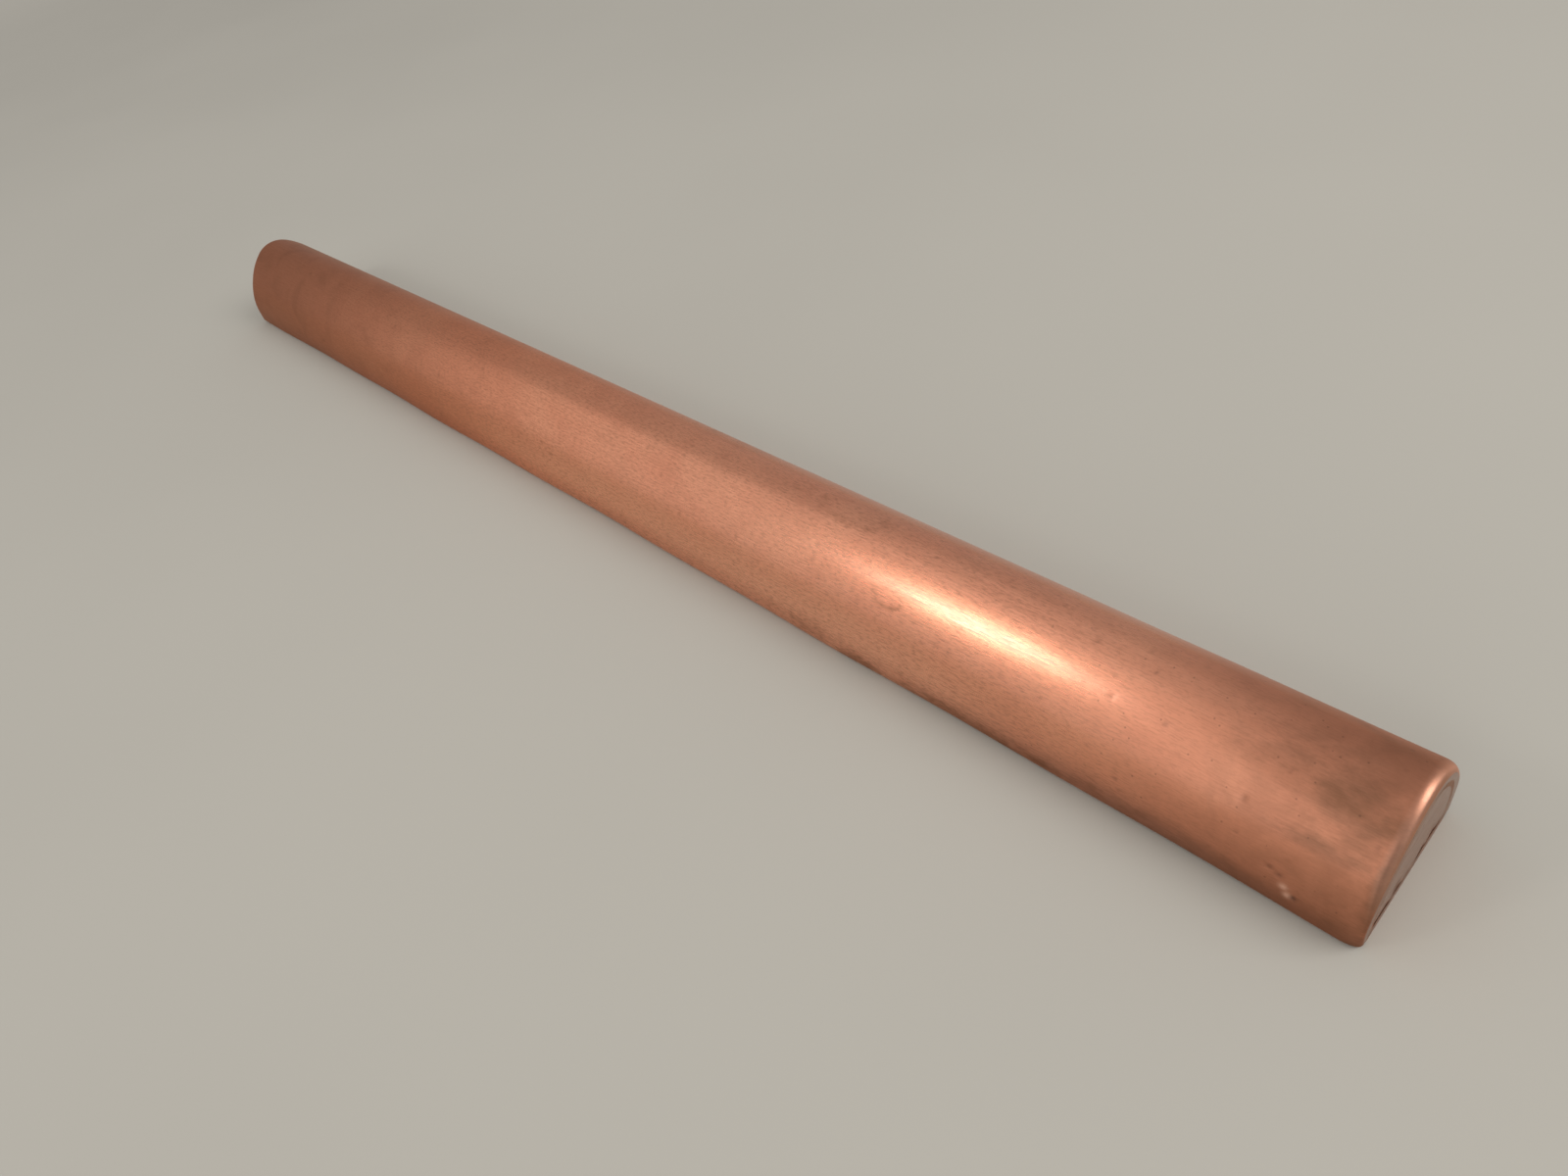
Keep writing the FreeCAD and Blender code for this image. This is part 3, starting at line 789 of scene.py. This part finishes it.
def brushed_copper(finish):
    """Cover: lengthwise grain, redder patches, brown clouds, stains, pits and worn rims, with
    painted shade at both ends and low on the front, and painted light on the low front flank.
    """
    material, tree, shader = new_material("brushed_copper", finish.film)
    where = add(tree, "ShaderNodeAttribute", attribute_name="place").outputs["Vector"]
    stain_share, pit_share, bare_share = wear_shares(tree)
    spot = add(tree, "ShaderNodeSeparateXYZ", {0: where})
    x, run = spot.outputs[0], spot.outputs[1]

    grain = use_group(tree, "grain", where, *COVER_GRAIN)
    patches = use_group(tree, "clouds", where, *PATCHES)
    brown = use_group(tree, "clouds", where, *BROWN)
    blotches = use_group(tree, "clouds", where, *BLOTCHES)
    fleck = speckle(tree, where, *FLECK_RATES)
    fine = use_group(tree, "specks", where, *COVER_SPECKS)

    colour = mix_colour(tree, patches, finish.copper, finish.copper_warm)
    # Painted shade: brown towards the far end, darkening its dim reflection.
    far_shade_share = stretch(tree, x, *FAR_SHADE_X, 0.0, finish.far_painted_shade)
    # Brown tarnish and painted shade low on the front towards the near end, for the reflection of
    # the shaded floor.
    low_tarnish_and_shade = stretch(tree, run, *LOW_TARNISH_AND_SHADE_RUN, 0.0, stretch(tree, x, *LOW_TARNISH_AND_SHADE_X, 0.0, LOW_TARNISH_AND_SHADE_SHARE))
    # Brown tarnish and painted shade over the near end.
    near_tarnish_and_shade_share = stretch(tree, x, *NEAR_TARNISH_AND_SHADE_X, 0.0, finish.near_tarnish_and_shade)
    # Painted shade with tarnish from both ends and the low front, plus brown clouds.
    tarnish_and_shade_share = most(tree, far_shade_share, low_tarnish_and_shade, near_tarnish_and_shade_share)
    tarnish_and_shade_share = plus(tree, tarnish_and_shade_share, times(tree, brown, BROWN_SHARE))
    colour = mix_colour(tree, tarnish_and_shade_share, colour, finish.brown_tarnish_and_shade)
    # Painted light: lighter copper low on the front flank.
    painted_light = times(tree, stretch(tree, x, *PAINTED_LIGHT_START_X), stretch(tree, x, *PAINTED_LIGHT_END_X))
    painted_light = times(tree, painted_light, stretch(tree, run, *PAINTED_LIGHT_RUN, 0.0, PAINTED_LIGHT_SHARE))
    colour = mix_colour(tree, painted_light, colour, finish.painted_light)
    blotched = times(tree, stretch(tree, x, *BLOTCHED_X, 0.0, BLOTCH_SHARE), blotches)
    colour = mix_colour(tree, blotched, colour, finish.soiled)
    quiet = stretch(tree, x, *QUIET_X, 1.0, QUIET_SHARE)
    fleck_limit = stretch(tree, run, *FLECK_RUN, *FLECK_SHARES)
    fleck_share = times(tree, quiet, stretch(tree, fleck, *FLECK_NOISE, 0.0, fleck_limit))
    streak_share = times(tree, quiet, stretch(tree, grain, *STREAK_NOISE, 0.0, STREAK_SHARE))
    colour = mix_colour(tree, fleck_share, colour, finish.brown_tarnish_and_shade)
    colour = mix_colour(tree, streak_share, colour, finish.brown_tarnish_and_shade)

    smear = speckle(tree, where, *SMEAR_RATES)
    ragged = plus(tree, smear, times(tree, fleck, FRAY_FINE))
    frayed = math_node(tree, "SUBTRACT", ragged, FRAY_MEAN)
    stained = plus(tree, stain_share, frayed)
    stained = stretch(tree, stained, *STAIN_NOISE, 0.0, STAIN_SHARE)
    inside = math_node(tree, "MINIMUM", times(tree, stain_share, STAIN_EDGE), 1.0)
    stained = times(tree, stained, inside)
    colour = mix_colour(tree, stained, colour, finish.soiled)
    dark = most(tree, pit_share, times(tree, fine, SPECK_SHARE))
    colour = mix_colour(tree, dark, colour, finish.dark_tarnish)
    colour = mix_colour(tree, times(tree, bare_share, BARE_SHARE), colour, finish.fresh)

    rough = stretch(
        tree, grain, *ROUGH_NOISE, finish.roughness - finish.roughness_spread,
        finish.roughness + finish.roughness_spread)
    soiled = times(tree, most(tree, stained, tarnish_and_shade_share), SOILED_ROUGHNESS)
    film = stretch(tree, x, *FILM_X, finish.far_film, finish.film)
    clean = math_node(tree, "SUBTRACT", 1.0, most(tree, stained, near_tarnish_and_shade_share, pit_share))
    brushing = add(tree, "ShaderNodeCombineXYZ", {"X": 1.0})
    fill(tree, shader, {
        "Base Color": colour, "Roughness": plus(tree, rough, soiled),
        "Coat Weight": times(tree, film, clean), "Specular Tint": (*finish.glancing, 1.0),
        "Anisotropic": BRUSH_ANISOTROPY, "Anisotropic Rotation": ACROSS_THE_BRUSHING,
        "Tangent": brushing.outputs[0]})
    height = math_node(tree, "SUBTRACT", grain, fine)
    give_height(tree, shader, height, finish.grain_depth)
    return material


def plain_copper(name, finish, colour, roughness, cover, turn):
    """Flat copper pieces: rolled or filed grain, brown clouds and specks."""
    material, tree, shader = new_material(name, finish.end_film)
    coords = add(tree, "ShaderNodeTexCoord")
    where = add(tree, "ShaderNodeMapping", {
        "Vector": coords.outputs["Object"], "Rotation": turn}).outputs[0]
    stain_share, pit_share, _ = wear_shares(tree)
    grain = use_group(tree, "grain", where, *FLAT_GRAIN)
    clouds = use_group(tree, "clouds", where, *FLAT_CLOUDS)
    specks = use_group(tree, "specks", where, *FLAT_SPECKS)
    share = times(tree, clouds, cover)
    shade = mix_colour(tree, share, colour, finish.brown_tarnish_and_shade)
    streak = stretch(tree, grain, *FLAT_STREAK_NOISE, 0.0, STREAK_SHARE)
    # Grain streaks, and the first wear share, which darkens an end plate towards its foot.
    shade = mix_colour(tree, most(tree, streak, stain_share), shade, finish.brown_tarnish_and_shade)
    dark = most(tree, times(tree, specks, FLAT_SPECK_SHARE), pit_share)
    shade = mix_colour(tree, dark, shade, finish.dark_tarnish)
    rough = stretch(tree, grain, *WIDE_NOISE, roughness - BELOW_MEAN, roughness + ABOVE_MEAN)
    rough = plus(tree, rough, times(tree, share, CLOUDED_ROUGHNESS))
    fill(tree, shader, {
        "Base Color": shade, "Roughness": rough, "Specular Tint": (*finish.end_glancing, 1.0)})
    height = math_node(tree, "SUBTRACT", grain, specks)
    give_height(tree, shader, height, finish.grain_depth)
    return material


# Materials that more than one operator uses, by name.
SHARED = {}


def end_copper(finish):
    """Filed copper of both end faces: made once, shared by the cover and the plates."""
    if "end_copper" not in SHARED:
        SHARED["end_copper"] = plain_copper(
            "end_copper", finish, finish.filed, 0.40, 0.35, (0.0, 0.0, math.pi / 2))
    return SHARED["end_copper"]


def brazing_metal(finish):
    """Seams: dull, lumpy filler metal with soot and bright filed spots."""
    material, tree, shader = new_material("brazing_metal")
    where = add(tree, "ShaderNodeTexCoord").outputs["Object"]
    lumps = add(tree, "ShaderNodeTexNoise", {
        "Vector": where, "Scale": 900.0, "Detail": 4.0, "Roughness": 0.6}).outputs["Fac"]
    soot = use_group(tree, "clouds", where, *SOOT)
    filed = use_group(tree, "clouds", where, *FILED_SPOTS)
    sooty, bright = times(tree, soot, SOOT_SHARE), times(tree, filed, FILED_SHARE)
    shade = mix_colour(tree, sooty, finish.brazing, finish.dark_tarnish)
    shade = mix_colour(tree, bright, shade, finish.copper)
    fill(tree, shader, {
        "Base Color": shade, "Roughness": stretch(tree, lumps, *WIDE_NOISE, *SEAM_ROUGHNESS),
        "Specular Tint": (*finish.end_glancing, 1.0)})
    give_height(tree, shader, lumps, finish.grain_depth * LUMPS_OVER_GRAIN)
    return material


# The lamps fade with distance from the bar, and the floor gives way there to an even tone.
FLOOR_NEAR = 0.55
FLOOR_FAR = 1.5
FLOOR_DRIFT = 0.015
FLOOR_SIDE = 6.0
BLACK = (0.0, 0.0, 0.0)


def floor_material(stage):
    """Floor: even pale surface with a very faint drift of tone."""
    material, tree, shader = new_material("floor")
    where = add(tree, "ShaderNodeTexCoord").outputs["Object"]
    drift = add(tree, "ShaderNodeTexNoise", {"Vector": where, "Scale": 7.0, "Detail": 2.0})
    share = stretch(tree, drift.outputs["Fac"], *WIDE_NOISE)
    darker = tuple((1 - FLOOR_DRIFT) * part for part in stage.floor)
    paler = tuple(min(1.0, (1 + FLOOR_DRIFT) * part) for part in stage.floor)
    shade = mix_colour(tree, share, darker, paler)
    far = add(tree, "ShaderNodeVectorMath", {0: where}, operation="LENGTH")
    away = stretch(tree, far.outputs["Value"], FLOOR_NEAR, FLOOR_FAR)
    fill(tree, shader, {
        "Metallic": 0.0, "Roughness": 0.95, "Specular IOR Level": 0.1,
        "Base Color": mix_colour(tree, away, shade, BLACK),
        "Emission Color": mix_colour(tree, away, BLACK, stage.distance),
        "Emission Strength": 1.0})
    return material


def wear_material(node_name, material):
    """Give a CAD node a finish in all its material slots."""
    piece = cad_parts[node_name]
    if not piece.material_slots:
        piece.data.materials.append(material)
    for slot in piece.material_slots:
        slot.material = material


# ---- operators


class BAR_OT_cover(bpy.types.Operator):
    """Make the brushed skin of the cover, with its rims, dents and pits"""

    bl_idname = "copper_bar.cover"
    bl_label = "Cover"

    def execute(self, context):
        skin = new_piece("brushed_cover", *cover_surface(context.scene.bar_shape))
        skin.data.materials.append(brushed_copper(context.scene.bar_finish))
        skin.data.materials.append(end_copper(context.scene.bar_finish))
        finishes = np.zeros(len(skin.data.polygons), int)
        finishes[-2 * (LINING_AROUND - 1):] = 1
        skin.data.polygons.foreach_set("material_index", finishes)
        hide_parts("cover_shell")
        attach(skin, "root")
        return {"FINISHED"}


class BAR_OT_closures(bpy.types.Operator):
    """Make the two end plates, and finish the base strip and the vent plug"""

    bl_idname = "copper_bar.closures"
    bl_label = "Strip, plug and end plates"

    def execute(self, context):
        shape, finish = context.scene.bar_shape, context.scene.bar_finish
        rolled = plain_copper(
            "rolled_copper", finish, finish.dull, 0.42, 0.6, (0.0, 0.0, 0.0))
        wear_material("base_strip", rolled)
        wear_material("vent_plug", rolled)
        for name in ("near_end_plate", "far_end_plate"):
            plate = new_piece("filed_" + name, *plate_surface(shape, name, shape.seam))
            plate.data.materials.append(end_copper(finish))
            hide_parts(name)
            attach(plate, "root")
        return {"FINISHED"}


class BAR_OT_seams(bpy.types.Operator):
    """Make the two end seams and finish the two base seams"""

    bl_idname = "copper_bar.seams"
    bl_label = "Seams"

    def execute(self, context):
        shape = context.scene.bar_shape
        metal = brazing_metal(context.scene.bar_finish)
        for name in ("front_base_seam", "rear_base_seam"):
            wear_material(name, metal)
        for side in ("near", "far"):
            name = side + "_end_seam"
            surface = end_seam_surface(shape, name, side + "_end_plate", shape.seam)
            seam = new_piece("lumpy_" + name, *surface)
            seam.data.materials.append(metal)
            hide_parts(name)
            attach(seam, "root")
        return {"FINISHED"}


class BAR_OT_ribs(bpy.types.Operator):
    """Finish the ribs inside the bar"""

    bl_idname = "copper_bar.ribs"
    bl_label = "Ribs"

    def execute(self, context):
        finish = context.scene.bar_finish
        dull = plain_copper(
            "inner_copper", finish, finish.copper_warm, 0.5, 0.8, (0.0, 0.0, math.pi / 2))
        for name in ("far_rib", "far_middle_rib", "middle_rib", "near_middle_rib", "near_rib"):
            wear_material(name, dull)
        return {"FINISHED"}


# The key's target and the way to it, then each lamp's place, target, size and power.
LIT = Vector((SHELL_HIGH.x * 0.63, -0.0062, 0.0160))
KEY_WAY = Vector((-0.448, -0.684, 0.576)).normalized()
MIDDLE = Vector()
LAMPS = {
    "key": (LIT + KEY_WAY * 0.90, LIT, 0.15, "key_power"),
    "broad_key": (LIT + KEY_WAY * 0.98, LIT, 1.40, "broad_power"),
    "top": (Vector((0.0, 0.10, 1.20)), MIDDLE, 1.50, "top_power"),
    "front": (Vector((0.25, -1.00, 0.35)), Vector((0.05, 0.0, 0.0)), 0.80, "front_power"),
    "high": (Vector((0.75, 0.34, 0.72)), MIDDLE, 0.60, "high_power"),
}
SENSOR_WIDTH = 36.0
CLIP_START = 0.005


def camera_axes(heading, dip, roll):
    """Right, up and backward directions of a camera from its heading, dip and roll."""
    ahead = Vector((
        math.sin(heading) * math.cos(dip), math.cos(heading) * math.cos(dip), -math.sin(dip)))
    level = Vector((math.cos(heading), -math.sin(heading), 0.0))
    above = level.cross(ahead)
    right = math.cos(roll) * level + math.sin(roll) * above
    up = -math.sin(roll) * level + math.cos(roll) * above
    return right, up, -ahead


def area_lamp(name, place, target, size, power):
    """Square softbox at a place, facing a target."""
    lamp = bpy.data.lights.new(name, "AREA")
    lamp.shape = "SQUARE"
    lamp.size = size
    lamp.energy = power
    holder = bpy.data.objects.new(name, lamp)
    bpy.context.scene.collection.objects.link(holder)
    holder.location = place
    holder.rotation_euler = (target - place).to_track_quat("-Z", "Y").to_euler()


def lay_floor(stage):
    """Square floor around the bar."""
    reach = FLOOR_SIDE / 2
    corners = [(-reach, -reach, 0), (reach, -reach, 0), (reach, reach, 0), (-reach, reach, 0)]
    mesh = bpy.data.meshes.new("floor")
    mesh.from_pydata(corners, [], [(0, 1, 2, 3)])
    floor = bpy.data.objects.new("floor", mesh)
    bpy.context.scene.collection.objects.link(floor)
    mesh.materials.append(floor_material(stage))


def studio_world(stage):
    """World: one even light on everything, and a plain tone where it is seen."""
    world = bpy.data.worlds.new("studio")
    world.use_nodes = True
    tree = world.node_tree
    background = tree.nodes["Background"]
    path = add(tree, "ShaderNodeLightPath")
    scenery = tuple(part / stage.backdrop for part in stage.distance)
    tone = mix_colour(tree, path.outputs["Is Camera Ray"], (1.0, 1.0, 1.0), scenery)
    tree.links.new(tone, background.inputs["Color"])
    seen = most(tree, *(path.outputs[ray] for ray in (
        "Is Camera Ray", "Is Glossy Ray", "Is Transmission Ray")))
    strength = math_node(tree, "MULTIPLY_ADD", seen, stage.backdrop - stage.sky, stage.sky)
    tree.links.new(strength, background.inputs["Strength"])
    return world


def place_camera(stage):
    """Camera at the stage's eye; returns its object."""
    right, up, back = camera_axes(stage.heading, stage.dip, stage.roll)
    data = bpy.data.cameras.new("camera")
    data.sensor_width = SENSOR_WIDTH
    data.lens = stage.lens
    data.clip_start = CLIP_START
    camera = bpy.data.objects.new("camera", data)
    bpy.context.scene.collection.objects.link(camera)
    turn = Matrix((right, up, back)).transposed().to_4x4()
    camera.matrix_world = Matrix.Translation(Vector(stage.eye)) @ turn
    return camera


class BAR_OT_stage(bpy.types.Operator):
    """Make the floor, the lamps, the world and the camera"""

    bl_idname = "copper_bar.stage"
    bl_label = "Stage"

    def execute(self, context):
        scene = context.scene
        stage = scene.bar_stage
        lay_floor(stage)
        for name, (place, target, size, power) in LAMPS.items():
            area_lamp(name, place, target, size, getattr(stage, power))
        scene.world = studio_world(stage)
        scene.camera = place_camera(stage)
        scene.view_settings.view_transform = "Standard"
        return {"FINISHED"}


class BAR_PT_panel(bpy.types.Panel):
    """Steps that make the bar and its stage"""

    bl_idname = "BAR_PT_panel"
    bl_label = "Copper bar"
    bl_space_type = "VIEW_3D"
    bl_region_type = "UI"
    bl_category = "Copper bar"

    def draw(self, context):
        column = self.layout.column()
        for operator in OPERATORS:
            column.operator(operator.bl_idname)


SETTINGS = {"bar_shape": BarShape, "bar_finish": BarFinish, "bar_stage": BarStage}
OPERATORS = (BAR_OT_stage, BAR_OT_cover, BAR_OT_closures, BAR_OT_seams, BAR_OT_ribs)
CLASSES = (*SETTINGS.values(), *OPERATORS, BAR_PT_panel)


def register():
    for cls in CLASSES:
        bpy.utils.register_class(cls)
    for name, group in SETTINGS.items():
        setattr(bpy.types.Scene, name, PointerProperty(type=group))


def unregister():
    for name in SETTINGS:
        delattr(bpy.types.Scene, name)
    for cls in reversed(CLASSES):
        bpy.utils.unregister_class(cls)


def main():
    """Make every piece and the stage."""
    register()
    build_groups()
    bpy.ops.copper_bar.stage()
    bpy.ops.copper_bar.cover()
    bpy.ops.copper_bar.closures()
    bpy.ops.copper_bar.seams()
    bpy.ops.copper_bar.ribs()


if __name__ == "__main__":
    main()
